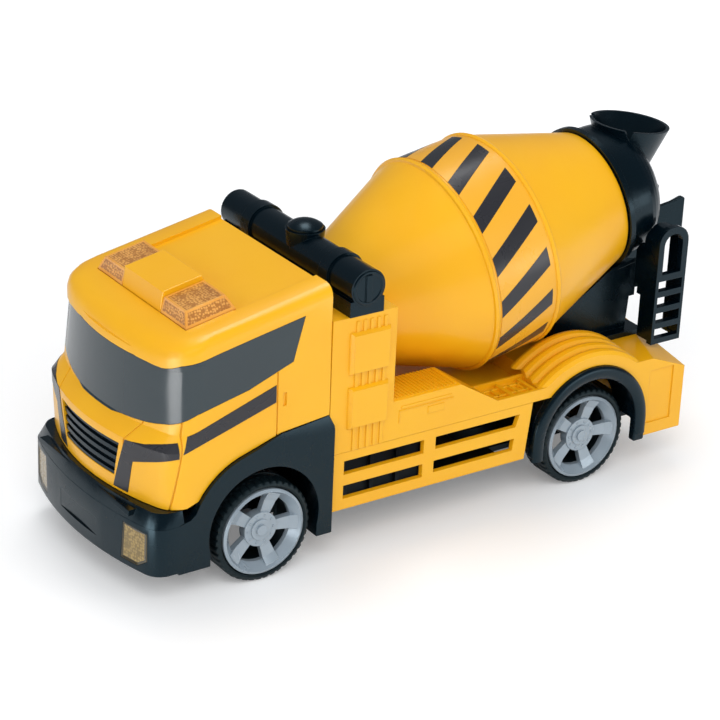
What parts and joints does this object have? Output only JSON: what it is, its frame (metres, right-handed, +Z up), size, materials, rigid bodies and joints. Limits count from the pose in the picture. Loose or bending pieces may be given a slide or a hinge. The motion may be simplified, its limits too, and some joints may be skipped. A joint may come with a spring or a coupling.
{
  "type": "toy cement mixer truck",
  "caption": "Toy cement mixer truck with free-rolling wheels, a tilted turning drum, a swinging discharge chute and a sprung sound button on the tube behind the cab.",
  "frame": {"origin": "on the ground, on the truck's mid-plane, midway between the bumper's front and the chute's tip", "axes": "+Z up, the truck's front faces -Y, its left side faces +X"},
  "size_m": [0.0832, 0.245, 0.1218],
  "materials": {
    "yellow_shell": "moulded yellow plastic with a soft gloss",
    "black_trim": "blue-black plastic with a satin gloss",
    "black_chassis": "fine-textured black plastic",
    "slate_glazing": "opaque slate-grey gloss panel",
    "sticker": "printed vinyl sticker",
    "amber_lens": "amber prismatic lens",
    "grey_rim": "mid-grey satin plastic",
    "tyre": "black rubber-like tyre",
    "steel": "bright steel",
    "circuit_board": "green board",
    "led": "clear lamp",
    "battery": "plain dark cell jacket",
    "speaker_unit": "speaker with a steel magnet",
    "drum_label": "printed vinyl label, yellow with slanted dark stripes"
  },
  "bodies": {
    "truck": {"cab_shell": "yellow_shell", "beacon_cover": "yellow_shell", "body_shell": "yellow_shell", "side_skirt_left": "yellow_shell", "side_skirt_right": "yellow_shell", "grille_insert": "black_trim", "front_bumper": "black_trim", "rear_arch_trim_left": "black_trim", "rear_arch_trim_right": "black_trim", "roof_tube": "black_trim", "rear_support": "black_trim", "mouth_hopper": "black_trim", "ladder": "black_trim", "chassis_base": "black_chassis", "battery_door": "black_chassis", "power_switch_housing": "black_chassis", "tact_switch": "black_chassis", "windscreen_panel": "slate_glazing", "cab_trim_stickers": "sticker", "beacon_lens_left": "amber_lens", "beacon_lens_right": "amber_lens", "headlight_lens_left": "amber_lens", "headlight_lens_right": "amber_lens", "drum_pivot_pin": "steel", "chute_pin": "steel", "button_spring": "steel", "battery_contacts": "steel", "battery_door_screw": "steel", "chassis_screws": "steel", "circuit_board": "circuit_board", "led_lamps": "led", "batteries": "battery", "speaker": "speaker_unit"},
    "front_wheels": {"front_axle_rod": "steel", "rim_front_left": "grey_rim", "rim_front_right": "grey_rim", "tyre_front_left": "tyre", "tyre_front_right": "tyre"},
    "rear_wheels": {"rear_axle_rod": "steel", "rim_rear_left": "grey_rim", "rim_rear_right": "grey_rim", "tyre_rear_left": "tyre", "tyre_rear_right": "tyre"},
    "drum": {"drum_front_shell": "yellow_shell", "drum_rear_shell": "yellow_shell", "drum_sticker": "drum_label"},
    "chute": {"discharge_chute": "black_trim"},
    "button": {"push_button": "black_trim"},
    "power_switch": {"power_switch_knob": "grey_rim"}
  },
  "joints": [
    {"name": "front_wheels_roll", "type": "hinge", "parent": "truck", "child": "front_wheels", "pos_m": [0, -0.0759, 0.018], "axis": [1, 0, 0], "continuous": true},
    {"name": "rear_wheels_roll", "type": "hinge", "parent": "truck", "child": "rear_wheels", "pos_m": [0, 0.0591, 0.018], "axis": [1, 0, 0], "continuous": true},
    {"name": "drum_turn", "type": "hinge", "parent": "truck", "child": "drum", "pos_m": [0, 0.0158, 0.0786], "axis": [0, 0.9833, 0.1822], "continuous": true},
    {"name": "chute_swing", "type": "hinge", "parent": "truck", "child": "chute", "pos_m": [0, 0.1115, 0.0744], "axis": [0, 0, 1], "range_deg": [-35, 35]},
    {"name": "button_press", "type": "slide", "parent": "truck", "child": "button", "axis": [0, 0, -1], "range_m": [0, 0.002], "stiffness_N_per_m": 400, "springref_m": -0.001, "deforming": ["button_spring"]},
    {"name": "power_switch_slide", "type": "slide", "parent": "truck", "child": "power_switch", "axis": [0, 1, 0], "range_m": [-0.002, 0.002]}
  ]
}
